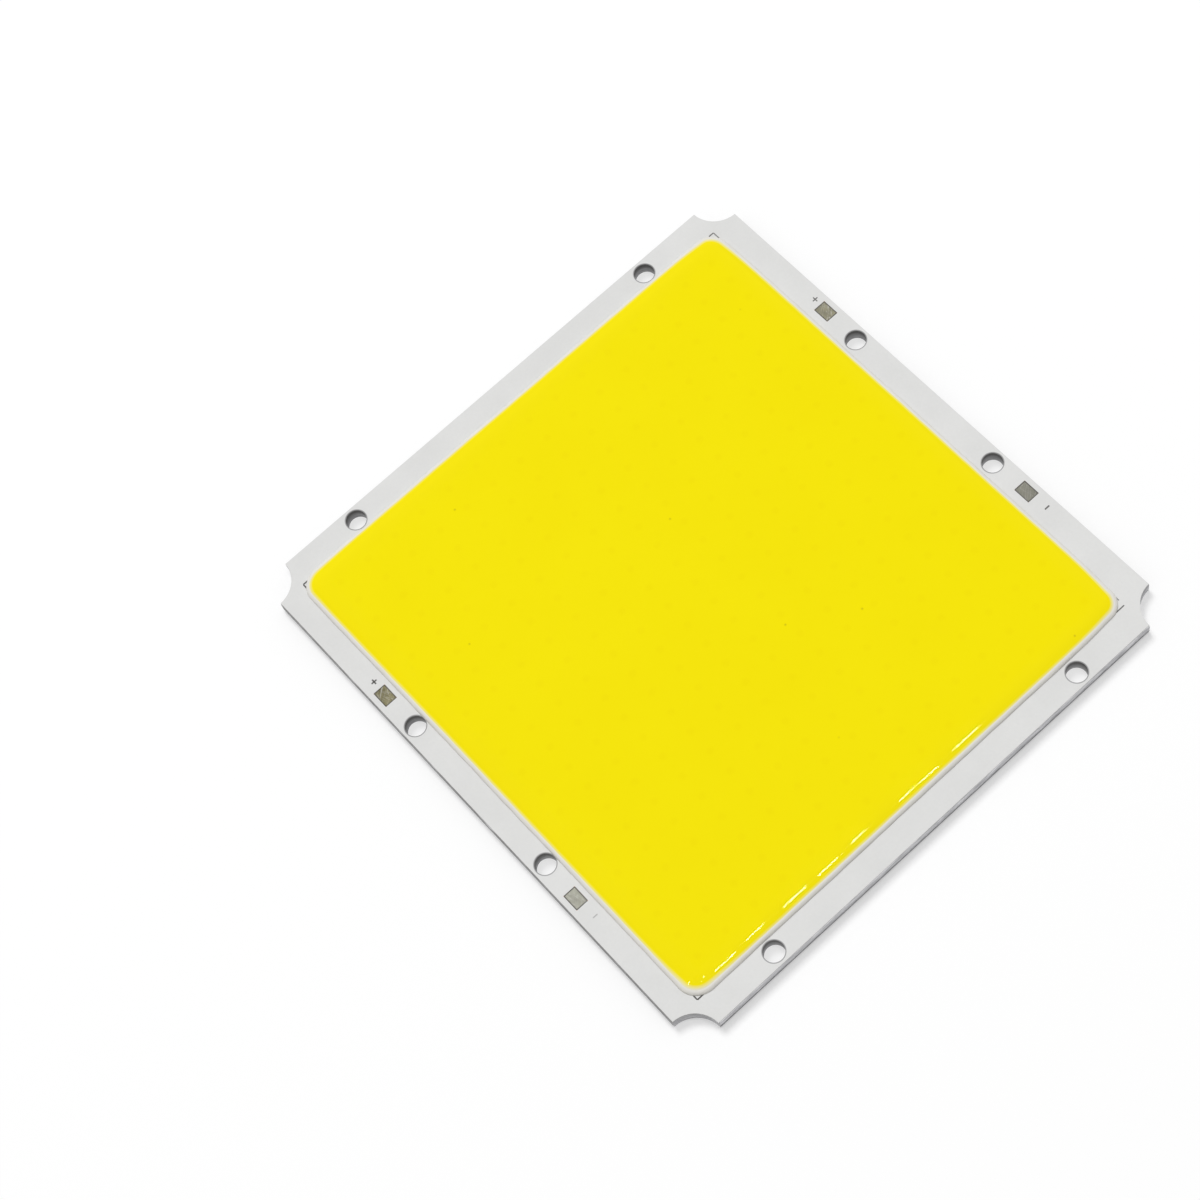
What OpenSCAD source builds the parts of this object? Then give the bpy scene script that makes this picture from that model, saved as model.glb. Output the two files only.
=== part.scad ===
// Chip-on-board LED light panel.
// A scored aluminium circuit board carries four series strings of bare diodes,
// a silicone bead round them and one cast layer of yellow phosphor silicone.
// The origin is the centre of the back face. +X runs from the positive end to
// the negative end and +Z comes out of the light face. All sizes are in mm.

/* [Board] */
// Length of the board along X, between score lines
board_w = 100; // [90:0.5:130]
// Width of the board along Y, between score lines
board_d = 95; // [85:0.5:130]
// Thickness of the aluminium plate
base_t = 2.3; // [1.4:0.1:3]
// Diameter of the hole drilled where two score lines cross
notch_d = 9.5; // [6:0.1:9.8]
// Depth of the score cut in each face of the plate
score_depth = 0.5; // [0.2:0.05:0.6]
// Width that a score cut takes off the edge of each face
score_set = 0.13; // [0.05:0.01:0.2]

/* [Screw holes] */
// Diameter of a screw hole
hole_d = 3.3; // [2.6:0.1:3.8]
// Distance from a screw hole's centre to the nearest edge
hole_edge = 2.3; // [2.2:0.05:3]
// Spacing of the holes in the two edges that run along X
hole_span_x = 30; // [16:0.5:36]
// Spacing of the holes in the two edges that run along Y
hole_span_y = 60.2; // [40:0.1:70]

/* [Circuit layers] */
// Thickness of the insulating film under the copper
dielectric_t = 0.1; // [0.05:0.01:0.2]
// Thickness of the copper
copper_t = 0.07; // [0.035:0.005:0.14]
// Thickness of the mask over the copper
mask_t = 0.03; // [0.02:0.005:0.06]
// Gap between neighbouring copper nets
trace_gap = 0.25; // [0.15:0.01:0.28]
// Width of the bar that joins the fingers of one net
bus_w = 2.1; // [1:0.1:2.6]
// Length of a finger past the centre of the last diode
finger_tail = 2.1; // [0.8:0.1:2.6]

/* [Solder pads] */
// Length of a pad along X
pad_w = 3; // [2:0.1:4]
// Width of a pad along Y
pad_d = 2.2; // [1.4:0.1:2.4]
// Spacing of the positive and negative pads
pad_span_x = 44; // [40:0.5:48]
// Distance from a pad's centre to the nearest edge
pad_edge = 2.1; // [1.9:0.05:2.3]
// Copper round a pad, under the mask
pad_land = 0.2; // [0.1:0.05:0.3]
// Thickness of the tin on a pad
tin_t = 0.02; // [0.01:0.005:0.06]
// Gap between the tin and the mask round it
tin_gap = 0.04; // [0.02:0.01:0.1]

/* [Light field] */
// Width of the silicone bead on the board
dam_w = 1.3; // [1.1:0.1:2.4]
// Height of the silicone bead
dam_h = 0.55; // [0.4:0.05:0.9]
// Gap between the bead and the rim of a screw hole
dam_clear = 0.2; // [0.05:0.05:0.5]
// Corner radius of the bead's crest
dam_corner_r = 2.8; // [2.7:0.1:6]
// Rise of the phosphor from the bead's crest to its flat top
crown_h = 0.3; // [0.1:0.05:0.5]
// Width of the rounded rim of the phosphor
crown_w = 2.5; // [1.5:0.1:2.6]

/* [Diodes] */
// Columns of diodes in one string, an odd number
string_columns = 5; // [3:2:5]
// Diodes in one column
diode_rows = 15; // [9:1:15]
// Distance along X from the bead's crest to the first column
diode_margin_x = 4.35; // [3.5:0.05:6]
// Distance along Y from the bead's crest to the first row
diode_margin_y = 4.2; // [3.5:0.05:6]
// Length of a diode along X, across the gap between two nets
diode_l = 1; // [0.95:0.05:1.4]
// Width of a diode along Y
diode_w = 0.5; // [0.48:0.02:0.8]
// Height of a diode
diode_h = 0.2; // [0.1:0.01:0.3]
// Length of a solder joint along X
joint_l = 0.28; // [0.15:0.01:0.3]
// Width of a solder joint along Y
joint_w = 0.4; // [0.2:0.01:0.46]
// Thickness of a solder joint, copper to diode
joint_t = 0.05; // [0.03:0.005:0.08]
// Distance from a diode's end to its solder joint
joint_inset = 0.03; // [0.01:0.01:0.04]
// Gap between a solder joint and the mask round it
joint_gap = 0.03; // [0.01:0.01:0.04]

/* [Hidden] */
$fn = 96;

// Length by which a cutter runs past the piece that it cuts
past = 1;

// Heights of the layers above the back face
dielectric_z = base_t;
copper_z = dielectric_z + dielectric_t;
land_z = copper_z + copper_t;
mask_z = land_z + mask_t;
diode_z = land_z + joint_t;

// The bead runs just inside the screw holes
dam_edge = hole_edge + hole_d / 2 + dam_clear + dam_w / 2;
field_w = board_w - 2 * dam_edge;
field_d = board_d - 2 * dam_edge;
straight_w = field_w - 2 * dam_corner_r;
straight_d = field_d - 2 * dam_corner_r;
// Radii of the arcs that give the bead's section and the phosphor's rim
dam_r = (dam_w * dam_w / 4 + dam_h * dam_h) / (2 * dam_h);
crown_r = (crown_w * crown_w + crown_h * crown_h) / (2 * crown_h);
phosphor_h = dam_h + crown_h;

// The diodes bridge the gaps between fingers, so there is one finger more than columns
strings = 4;
columns = strings * string_columns;
pitch_x = (field_w - 2 * diode_margin_x) / (columns - 1);
pitch_y = (field_d - 2 * diode_margin_y) / (diode_rows - 1);
window_l = diode_l - 2 * joint_inset + 2 * joint_gap;
window_w = joint_w + 2 * joint_gap;
finger_w = pitch_x - trace_gap;
finger_end = (diode_rows - 1) / 2 * pitch_y + finger_tail;
bus_in = finger_end + trace_gap;
bus_out = bus_in + bus_w;

// The feed rails run outside the bars, out to the far side of the pads
pad_y = board_d / 2 - pad_edge;
rail_in = bus_out + trace_gap;
rail_out = pad_y + pad_d / 2 + pad_land;

function diode_x(column) = (column - (columns - 1) / 2) * pitch_x;
function diode_y(row) = (row - (diode_rows - 1) / 2) * pitch_y;
function finger_x(finger) = (finger - columns / 2) * pitch_x;
function string_of(finger) = min(floor(finger / string_columns), strings - 1);
function step_of(finger) = finger - string_of(finger) * string_columns;
function net_of(finger) = string_of(finger) + step_of(finger) % 2;
function fingers_of(net) = [for (finger = [0:columns]) if (net_of(finger) == net) finger];
// Every second net has its bar on the +Y side
function bus_side(net) = net % 2 == 0 ? 1 : -1;

module at_corners(w, d) {
    for (x = [-w / 2, w / 2], y = [-d / 2, d / 2])
        translate([x, y])
            children();
}

module at_screw_holes() {
    at_corners(hole_span_x, board_d - 2 * hole_edge)
        children();
    at_corners(board_w - 2 * hole_edge, hole_span_y)
        children();
}

// Rectangle given by two opposite corners
module span(x0, y0, x1, y1) {
    translate([min(x0, x1), min(y0, y1)])
        square([abs(x1 - x0), abs(y1 - y0)]);
}

// Outline of a film layer, cut back to the edge of the score
module film_outline() {
    difference() {
        square([board_w - 2 * score_set, board_d - 2 * score_set], center = true);
        at_corners(board_w, board_d)
            circle(d = notch_d);
        at_screw_holes()
            circle(d = hole_d);
    }
}

// Section of the plate across two scored edges
module scored_section(w) {
    half = w / 2;
    face = half - score_set;
    polygon([
        [-face, 0], [face, 0], [half, score_depth], [half, base_t - score_depth],
        [face, base_t], [-face, base_t], [-half, base_t - score_depth], [-half, score_depth]
    ]);
}

module aluminium_base_plate() {
    color("silver")
        difference() {
            intersection() {
                rotate([90, 0, 0])
                    linear_extrude(board_d + 2 * past, center = true)
                        scored_section(board_w);
                rotate([90, 0, 90])
                    linear_extrude(board_w + 2 * past, center = true)
                        scored_section(board_d);
            }
            at_corners(board_w, board_d)
                translate([0, 0, -past])
                    cylinder(d = notch_d, h = base_t + 2 * past);
            at_screw_holes()
                translate([0, 0, -past])
                    cylinder(d = hole_d, h = base_t + 2 * past);
        }
}

module dielectric_layer() {
    color("ivory")
        translate([0, 0, dielectric_z])
            linear_extrude(dielectric_t)
                film_outline();
}

// Fingers of one net and the bar that joins them
module net_comb(net) {
    side = bus_side(net);
    fingers = fingers_of(net);
    for (finger = fingers)
        span(finger_x(finger) - finger_w / 2, -side * finger_end,
             finger_x(finger) + finger_w / 2, side * bus_out);
    span(finger_x(fingers[0]) - finger_w / 2, side * bus_in,
         finger_x(fingers[len(fingers) - 1]) + finger_w / 2, side * bus_out);
}

// Feed from the outermost finger of an end net to its two pads
module net_feed(end) {
    outer_x = end * (finger_x(columns) + finger_w / 2);
    inner_x = end * (finger_x(columns) - finger_w / 2);
    pad_end_x = end * (pad_span_x / 2 - pad_w / 2 - pad_land);
    span(outer_x, -rail_out, inner_x, rail_out);
    for (side = [-1, 1])
        span(outer_x, side * rail_in, pad_end_x, side * rail_out);
}

module net_outline(net) {
    net_comb(net);
    if (net == 0)
        net_feed(-1);
    if (net == strings)
        net_feed(1);
}

module copper_net(net) {
    color("peru")
        translate([0, 0, copper_z])
            linear_extrude(copper_t)
                net_outline(net);
}

module copper_positive_net() copper_net(0);
module copper_link_net_1() copper_net(1);
module copper_link_net_2() copper_net(2);
module copper_link_net_3() copper_net(3);
module copper_negative_net() copper_net(strings);

// Places of the two solder joints of one diode
module at_joints() {
    joint_x = diode_l / 2 - joint_inset - joint_l / 2;
    for (x = [-joint_x, joint_x])
        translate([x, 0])
            children();
}

module at_diodes(first, last) {
    for (column = [first:last], row = [0:diode_rows - 1])
        translate([diode_x(column), diode_y(row)])
            children();
}

// White ink: it fills the gaps between the nets and covers them,
// with a window over each pad and one under each diode
module solder_mask() {
    color("whitesmoke") {
        translate([0, 0, copper_z])
            linear_extrude(copper_t)
                difference() {
                    film_outline();
                    for (net = [0:strings])
                        net_outline(net);
                }
        translate([0, 0, land_z])
            linear_extrude(mask_t)
                difference() {
                    film_outline();
                    at_corners(pad_span_x, 2 * pad_y)
                        square([pad_w, pad_d], center = true);
                    at_diodes(0, columns - 1)
                        square([window_l, window_w], center = true);
                }
    }
}

module solder_pad(end, side) {
    color("darkgray")
        translate([end * pad_span_x / 2, side * pad_y, land_z])
            linear_extrude(tin_t)
                square([pad_w - 2 * tin_gap, pad_d - 2 * tin_gap], center = true);
}

module positive_pad_upper() solder_pad(-1, 1);
module positive_pad_lower() solder_pad(-1, -1);
module negative_pad_upper() solder_pad(1, 1);
module negative_pad_lower() solder_pad(1, -1);

module string_solder(string) {
    color("lightslategray")
        translate([0, 0, land_z])
            at_diodes((string - 1) * string_columns, string * string_columns - 1)
                at_joints()
                    linear_extrude(joint_t)
                        square([joint_l, joint_w], center = true);
}

module string_solder_1() string_solder(1);
module string_solder_2() string_solder(2);
module string_solder_3() string_solder(3);
module string_solder_4() string_solder(4);

module diode() {
    translate([-diode_l / 2, -diode_w / 2, diode_z])
        cube([diode_l, diode_w, diode_h]);
}

module led_string(string) {
    color("cornflowerblue")
        at_diodes((string - 1) * string_columns, string * string_columns - 1)
            diode();
}

module led_string_1() led_string(1);
module led_string_2() led_string(2);
module led_string_3() led_string(3);
module led_string_4() led_string(4);

// Section of the bead, a low segment of a circle with its crest on the Y axis
module bead_section() {
    intersection() {
        translate([0, dam_h - dam_r])
            circle(dam_r);
        translate([-dam_w / 2, 0])
            square([dam_w, dam_h]);
    }
}

// Section of the phosphor from the corner's axis out to the bead's crest
module rim_section() {
    flat = dam_corner_r - crown_w;
    difference() {
        union() {
            square([flat, phosphor_h]);
            intersection() {
                translate([flat, 0])
                    square([crown_w, phosphor_h]);
                translate([flat, phosphor_h - crown_r])
                    circle(crown_r);
            }
        }
        translate([dam_corner_r, 0])
            bead_section();
    }
}

// Carries a section, drawn outwards from the corner's axis, once round the field
module round_field() {
    for (quarter = [0:3]) {
        along_x = quarter % 2 == 1;
        straight = along_x ? straight_w : straight_d;
        reach = along_x ? straight_d : straight_w;
        rotate(quarter * 90) {
            translate([reach / 2, 0])
                rotate([90, 0, 0])
                    linear_extrude(straight, center = true)
                        children();
            translate([reach / 2, straight / 2])
                rotate_extrude(angle = 90)
                    children();
        }
    }
}

module dam_bead() {
    color("cornsilk")
        translate([0, 0, mask_z])
            round_field()
                translate([dam_corner_r, 0])
                    bead_section();
}

module phosphor_layer() {
    color("gold")
        difference() {
            translate([0, 0, mask_z]) {
                round_field()
                    rim_section();
                translate([-straight_w / 2, -straight_d / 2])
                    cube([straight_w, straight_d, phosphor_h]);
            }
            at_diodes(0, columns - 1)
                translate([-diode_l / 2, -diode_w / 2, mask_z - past])
                    cube([diode_l, diode_w, diode_z + diode_h - mask_z + past]);
        }
}

aluminium_base_plate();
dielectric_layer();
copper_positive_net();
copper_link_net_1();
copper_link_net_2();
copper_link_net_3();
copper_negative_net();
solder_mask();
positive_pad_upper();
positive_pad_lower();
negative_pad_upper();
negative_pad_lower();
string_solder_1();
string_solder_2();
string_solder_3();
string_solder_4();
led_string_1();
led_string_2();
led_string_3();
led_string_4();
dam_bead();
phosphor_layer();
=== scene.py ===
import math
import bmesh
import bpy
import numpy as np
from mathutils import Matrix, Vector
from mathutils.geometry import delaunay_2d_cdt


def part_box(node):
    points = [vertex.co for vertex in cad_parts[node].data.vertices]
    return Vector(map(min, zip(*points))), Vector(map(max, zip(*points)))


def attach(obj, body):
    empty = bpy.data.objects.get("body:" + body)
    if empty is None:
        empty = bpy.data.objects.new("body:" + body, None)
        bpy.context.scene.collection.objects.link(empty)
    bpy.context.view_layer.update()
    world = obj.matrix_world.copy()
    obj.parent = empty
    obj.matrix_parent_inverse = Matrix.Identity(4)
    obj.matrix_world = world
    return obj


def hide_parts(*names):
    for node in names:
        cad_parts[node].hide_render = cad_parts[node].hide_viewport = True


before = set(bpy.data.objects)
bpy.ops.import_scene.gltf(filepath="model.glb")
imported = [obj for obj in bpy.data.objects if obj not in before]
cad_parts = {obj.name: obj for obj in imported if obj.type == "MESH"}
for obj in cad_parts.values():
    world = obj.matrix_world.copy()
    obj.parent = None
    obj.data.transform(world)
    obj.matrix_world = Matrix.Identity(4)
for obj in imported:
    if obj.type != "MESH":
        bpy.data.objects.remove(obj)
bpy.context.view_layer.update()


# Base plate: rolled aluminium sheet, 2.3 mm thick. The screw holes and the round corner cut-outs are
# drilled in the full sheet, score lines are cut in both faces, and each plate is then snapped out,
# which leaves two cut bevels along every edge with a torn web between them.
mm = 0.001
plate_x, plate_y, plate_t = (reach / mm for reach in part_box("aluminium_base_plate")[1])
notch_r = 4.75
notch_points = 30
score_set = 0.13
score_depth = 0.5
edge_points = 340
edge_first = 0.02
web_levels = 7
web_tear = 0.05
tear_seed = 11
tear_along_share = 0.6
tear_local_share = 0.4
bevel_tear = 0.25
screw_r = 1.65
screw_places = [(x, y) for x in (-15.0, 15.0) for y in (-45.2, 45.2)]
screw_places += [(x, y) for x in (-47.7, 47.7) for y in (-30.1, 30.1)]
screw_points = 48
bore_bevel = 0.06
bore_start = 0.2
bore_rings = 13
bore_mark = 0.008
merge_gap = 0.0005
plate_sharp = math.radians(28)


def plate_loop(inset):
    """One loop round the plate: points, outward directions, and 1 where the edge was snapped."""
    reach = math.sqrt(notch_r ** 2 - inset ** 2)
    lean = math.asin(inset / notch_r)
    points, outward, snapped = [], [], []
    for nx, ny in ((1, 0), (0, 1), (-1, 0), (0, -1)):
        half_run = (plate_y if nx else plate_x) - reach
        offset = (plate_x if nx else plate_y) - inset
        run = np.linspace(-half_run, half_run, edge_points)[:, None]
        points.append(offset * np.array([[nx, ny]]) + run * np.array([[-ny, nx]]))
        outward.append(np.repeat([[nx, ny]], edge_points, axis=0))
        snapped.append(np.ones(edge_points))
        corner = np.array([[plate_x * (nx - ny), plate_y * (nx + ny)]])
        start = math.atan2(-nx, ny) - lean
        turn = np.linspace(start, start - math.pi / 2 + 2 * lean, notch_points + 2)[1:-1]
        spoke = np.stack([np.cos(turn), np.sin(turn)], axis=1)
        points.append(corner + notch_r * spoke)
        outward.append(-spoke)
        snapped.append(np.zeros(notch_points))
    return np.concatenate(points), np.concatenate(outward), np.concatenate(snapped)


def stitch(first, second, count):
    """Four-sided faces between two closed loops of the same number of points."""
    step = np.arange(count)
    following = (step + 1) % count
    return np.stack([first + step, first + following, second + following, second + step], axis=1).tolist()


def raw_mesh(name, points, edges, faces, **columns):
    """A mesh from points in mm, which carry named numbers."""
    mesh = bpy.data.meshes.new(name)
    mesh.from_pydata((np.asarray(points) * mm).tolist(), edges, faces)
    for label, numbers in columns.items():
        mesh.attributes.new(label, "FLOAT", "POINT").data.foreach_set("value", np.asarray(numbers, float))
    return mesh


def closed_mesh(name, points, faces, sharp_angle=None, **columns):
    """A piece from points in mm: doubles merged, faces turned outwards, sharp edges and columns kept."""
    mesh = raw_mesh(name, points, [], faces, **columns)
    work = bmesh.new()
    work.from_mesh(mesh)
    bmesh.ops.remove_doubles(work, verts=work.verts, dist=merge_gap * mm)
    bmesh.ops.recalc_face_normals(work, faces=work.faces)
    for face in work.faces:
        face.smooth = sharp_angle is not None
    for edge in work.edges:
        if sharp_angle is not None and edge.calc_face_angle(0.0) > sharp_angle:
            edge.smooth = False
    work.to_mesh(mesh)
    work.free()
    piece = bpy.data.objects.new(name, mesh)
    bpy.context.scene.collection.objects.link(piece)
    return piece


chance = np.random.default_rng(tear_seed)
web_low = score_depth
web_high = plate_t - score_depth
edge_levels = [0.0, edge_first, 0.5 * score_depth]
edge_levels += np.linspace(web_low, web_high, web_levels).tolist()
edge_levels += [plate_t - 0.5 * score_depth, plate_t]
loop_size = 4 * (edge_points + notch_points)
tear_along = chance.normal(size=loop_size)
tear_along = np.convolve(np.tile(tear_along, 3), np.ones(3) / 3, mode="same")[loop_size:2 * loop_size]
plate_points, plate_faces = [], []
for level in edge_levels:
    cut = max(web_low - level, level - web_high, 0.0) / score_depth
    spread, away, snapped = plate_loop(score_set * cut)
    tear = tear_along_share * np.abs(tear_along) + tear_local_share * np.abs(chance.normal(size=loop_size))
    inside_web = 1.0 if web_low < level < web_high else bevel_tear * (1.0 - cut)
    spread = spread - away * (snapped * inside_web * web_tear * np.minimum(tear, 1.0))[:, None]
    plate_points.append(np.column_stack([spread, np.full(loop_size, level)]))
for ring in range(len(edge_levels) - 1):
    plate_faces += stitch(ring * loop_size, (ring + 1) * loop_size, loop_size)
made = len(edge_levels) * loop_size
circle = np.linspace(0.0, 2.0 * math.pi, screw_points, endpoint=False)
bore_levels = [0.0, bore_bevel] + np.linspace(bore_start, plate_t, bore_rings).tolist()
bore_reach = [screw_r + bore_bevel, screw_r] + (screw_r - bore_mark * (np.arange(bore_rings) % 2)).tolist()


def screw_ring(middle, reach):
    """Points round one screw hole."""
    return np.column_stack([middle[0] + reach * np.cos(circle), middle[1] + reach * np.sin(circle)])


for middle in screw_places:
    for level, reach in zip(bore_levels, bore_reach):
        plate_points.append(np.column_stack([screw_ring(middle, reach), np.full(screw_points, level)]))
    for ring in range(len(bore_levels) - 1):
        plate_faces += stitch(made + ring * screw_points, made + (ring + 1) * screw_points, screw_points)
    made += len(bore_levels) * screw_points


def plate_sheet(loop, reach):
    """Triangles of a flat face of the plate, open at the screw holes and the corner cut-outs."""
    flat = [loop] + [screw_ring(middle, reach) for middle in screw_places]
    edges, first = [], 0
    for part in flat:
        edges += [(first + i, first + (i + 1) % len(part)) for i in range(len(part))]
        first += len(part)
    spots = [Vector(p) for p in np.concatenate(flat).tolist()]
    spread, _, corners, _, _, _ = delaunay_2d_cdt(spots, edges, [], 0, 1e-6)
    spread = np.array([tuple(p) for p in spread])
    kept = []
    for face in corners:
        middle = spread[list(face)].mean(axis=0)
        in_screw = any(math.dist(middle, place) < reach for place in screw_places)
        in_notch = math.dist(np.abs(middle), (plate_x, plate_y)) < notch_r
        if not in_screw and not in_notch:
            kept.append(list(face))
    return spread, kept


for level, ring, reach in ((0.0, 0, bore_reach[0]), (plate_t, len(edge_levels) - 1, screw_r)):
    spread, triangles = plate_sheet(plate_points[ring][:, :2], reach)
    plate_points.append(np.column_stack([spread, np.full(len(spread), level)]))
    plate_faces += [[made + corner for corner in face] for face in triangles]
    made += len(spread)
plate = closed_mesh("snapped_base_plate", np.concatenate(plate_points), plate_faces, plate_sharp)


def feed(tree, node, feeds):
    """Gives sockets of a node, by name or number, a value or another node's output."""
    for socket, value in feeds.items():
        if isinstance(value, bpy.types.NodeSocket):
            tree.links.new(value, node.inputs[socket])
        else:
            node.inputs[socket].default_value = value


def put(tree, kind, feeds=None, **settings):
    """Adds a node with its settings and feeds."""
    added = tree.nodes.new(kind)
    for setting, value in settings.items():
        setattr(added, setting, value)
    feed(tree, added, feeds or {})
    return added


def reckon(tree, operation, *values):
    """The result of one step of arithmetic on numbers or on other nodes' outputs."""
    return put(tree, "ShaderNodeMath", dict(enumerate(values)), operation=operation).outputs[0]


def product(tree, first, *others):
    """Numbers or shares, multiplied."""
    for other in others:
        first = reckon(tree, "MULTIPLY", first, other)
    return first


def reckon_vector(tree, operation, *values):
    """The result of one step on vectors: a number for a length, a distance or a dot product."""
    step = put(tree, "ShaderNodeVectorMath", dict(enumerate(values)), operation=operation)
    return step.outputs["Value" if operation in ("LENGTH", "DISTANCE", "DOT_PRODUCT") else "Vector"]


def axes_of(tree, vector):
    """The X, Y and Z of a vector."""
    return put(tree, "ShaderNodeSeparateXYZ", {0: vector}).outputs


def new_finish(name):
    """A new material: itself, its tree, its shader, and the place on the object in mm."""
    material = bpy.data.materials.new(name)
    material.use_nodes = True
    tree = material.node_tree
    spot = put(tree, "ShaderNodeTexCoord").outputs["Object"]
    place = reckon_vector(tree, "MULTIPLY", spot, (1.0 / mm, 1.0 / mm, 1.0 / mm))
    return material, tree, tree.nodes["Principled BSDF"], place


def new_effect(name, inputs, output):
    """An empty shader group with named inputs and one value output."""
    tree = bpy.data.node_groups.new(name, "ShaderNodeTree")
    for label, kind, start in inputs:
        socket = tree.interface.new_socket(label, in_out="INPUT", socket_type=kind)
        if start is not None:
            socket.default_value = start
    tree.interface.new_socket(output, in_out="OUTPUT", socket_type="NodeSocketFloat")
    return tree, tree.nodes.new("NodeGroupInput").outputs, tree.nodes.new("NodeGroupOutput").inputs


def effect(tree, group, feeds):
    """Places a shader group in a material and gives its output."""
    return put(tree, "ShaderNodeGroup", feeds, node_tree=group).outputs[0]


def cloud(tree, place, size, detail):
    """Soft random clouds, from 0 to 1."""
    return put(tree, "ShaderNodeTexNoise", {"Vector": place, "Scale": size, "Detail": detail}).outputs["Fac"]


def between(tree, share, low, high):
    """A colour between two colours, by a share from 0 to 1."""
    return put(tree, "ShaderNodeMix", {0: share, 6: low, 7: high}, data_type="RGBA").outputs[2]


def number_between(tree, share, low, high):
    """A number between two numbers, by a share from 0 to 1."""
    return put(tree, "ShaderNodeMix", {0: share, 2: low, 3: high}).outputs[0]


def spread_to(tree, value, low, high, from_low=0.0, from_high=1.0):
    """A value taken from one range to another, and held inside it."""
    feeds = {"Value": value, "From Min": from_low, "From Max": from_high, "To Min": low, "To Max": high}
    return put(tree, "ShaderNodeMapRange", feeds).outputs["Result"]


def relief(tree, shader, height, depth_mm):
    """Fine relief on a finish, as deep as depth_mm where the height goes from 0 to 1."""
    bump = put(tree, "ShaderNodeBump", {"Height": height, "Strength": 1.0, "Distance": depth_mm * mm})
    feed(tree, shader, {"Normal": bump.outputs["Normal"]})


drawn_lines, given, result = new_effect(
    "drawn_lines",
    (("Place", "NodeSocketVector", None), ("Stretch", "NodeSocketVector", (0.1, 8.0, 8.0))),
    "Lines",
)
pulled = reckon_vector(drawn_lines, "MULTIPLY", given["Place"], given["Stretch"])
drawn_lines.links.new(cloud(drawn_lines, pulled, 1.0, 4.0), result["Lines"])

hair_scratches, given, result = new_effect(
    "hair_scratches",
    (
        ("Place", "NodeSocketVector", None),
        ("Turn", "NodeSocketFloat", 0.6),
        ("Size", "NodeSocketFloat", 0.5),
        ("Width", "NodeSocketFloat", 0.012),
    ),
    "Scratches",
)
scratch_stretch = (0.25, 2.0, 1.0)
swung = {"Vector": given["Place"], "Angle": given["Turn"]}
swung = put(hair_scratches, "ShaderNodeVectorRotate", swung, rotation_type="Z_AXIS").outputs[0]
drawn = reckon_vector(hair_scratches, "MULTIPLY", swung, scratch_stretch)
off_line = reckon(hair_scratches, "SUBTRACT", cloud(hair_scratches, drawn, given["Size"], 1.0), 0.5)
off_line = reckon(hair_scratches, "ABSOLUTE", off_line)
line = spread_to(hair_scratches, off_line, 1.0, 0.0, 0.0, given["Width"])
hair_scratches.links.new(line, result["Scratches"])

torn_dark = (0.30, 0.30, 0.312, 1.0)
torn_bright = (0.74, 0.74, 0.755, 1.0)
sheet_dark = (0.54, 0.54, 0.552, 1.0)
sheet_bright = (0.70, 0.70, 0.712, 1.0)
sheet_scratch = (0.80, 0.80, 0.81, 1.0)
painted_long_side_shade = (0.16, 0.155, 0.15, 1.0)
painted_crease_shade = (0.10, 0.10, 0.105, 1.0)
painted_bore_shade = (0.09, 0.088, 0.085, 1.0)
rolled_stretch = (0.03, 5.5, 5.5)
torn_stretch = (0.32, 0.32, 4.0)
rim_band = 0.6
bare_aluminium, tree, shader, place = new_finish("snapped_aluminium")
rolled = effect(tree, drawn_lines, {"Place": place, "Stretch": rolled_stretch})
torn = effect(tree, drawn_lines, {"Place": place, "Stretch": torn_stretch})
facing = axes_of(tree, put(tree, "ShaderNodeNewGeometry").outputs["True Normal"])
upright = reckon(tree, "ABSOLUTE", facing["Z"])
is_flat = spread_to(tree, upright, 0.0, 1.0, 0.5, 0.8)
is_bevel = spread_to(tree, upright, 0.0, 1.0, 0.1, 0.22)
marks = number_between(tree, is_flat, torn, rolled)
tone = spread_to(tree, marks, 0.0, 1.0, 0.3, 0.7)
torn_metal = between(tree, tone, torn_dark, torn_bright)
rubbed = effect(tree, hair_scratches, {"Place": place, "Turn": 0.5, "Size": 0.09, "Width": 0.004})
rubbed = spread_to(tree, rubbed, 0.0, 0.45)
sheet_metal = between(tree, rubbed, between(tree, tone, sheet_dark, sheet_bright), sheet_scratch)
metal = between(tree, is_flat, torn_metal, sheet_metal)
folded = reckon_vector(tree, "ABSOLUTE", place)
past = reckon_vector(tree, "SUBTRACT", folded, (plate_x - rim_band, plate_y - rim_band, 0.0))
past = axes_of(tree, past)
past_edge = reckon(tree, "MAXIMUM", past["X"], past["Y"])
past_side = reckon(tree, "SUBTRACT", past["Y"], past["X"])
to_corner = reckon_vector(tree, "SUBTRACT", folded, (plate_x, plate_y, 0.0))
to_corner = reckon_vector(tree, "LENGTH", reckon_vector(tree, "MULTIPLY", to_corner, (1.0, 1.0, 0.0)))
off_notch = spread_to(tree, to_corner, 0.0, 1.0, notch_r + 0.03, notch_r + 0.15)
on_walls = reckon(tree, "SUBTRACT", 1.0, is_flat)
on_rim = product(tree, on_walls, off_notch, spread_to(tree, past_edge, 0.0, 1.0, 0.0, 0.1))
off_rim = reckon(tree, "SUBTRACT", on_walls, on_rim)
# Painted shade: the outer walls are darkened to near black up to 1 mm above the floor, where the lower bevel
# is in shade.
crease_shade_share = spread_to(tree, past["Z"], 0.85, 0.0, score_depth + 0.25, score_depth + 0.5)
# Painted shade: the walls of the screw holes are darkened, most near their top rim, and the walls of the
# corner cut-outs less so.
bore_shade_rise = spread_to(tree, past["Z"], 0.45, 0.97, plate_t - 1.7, plate_t - 0.45)
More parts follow.
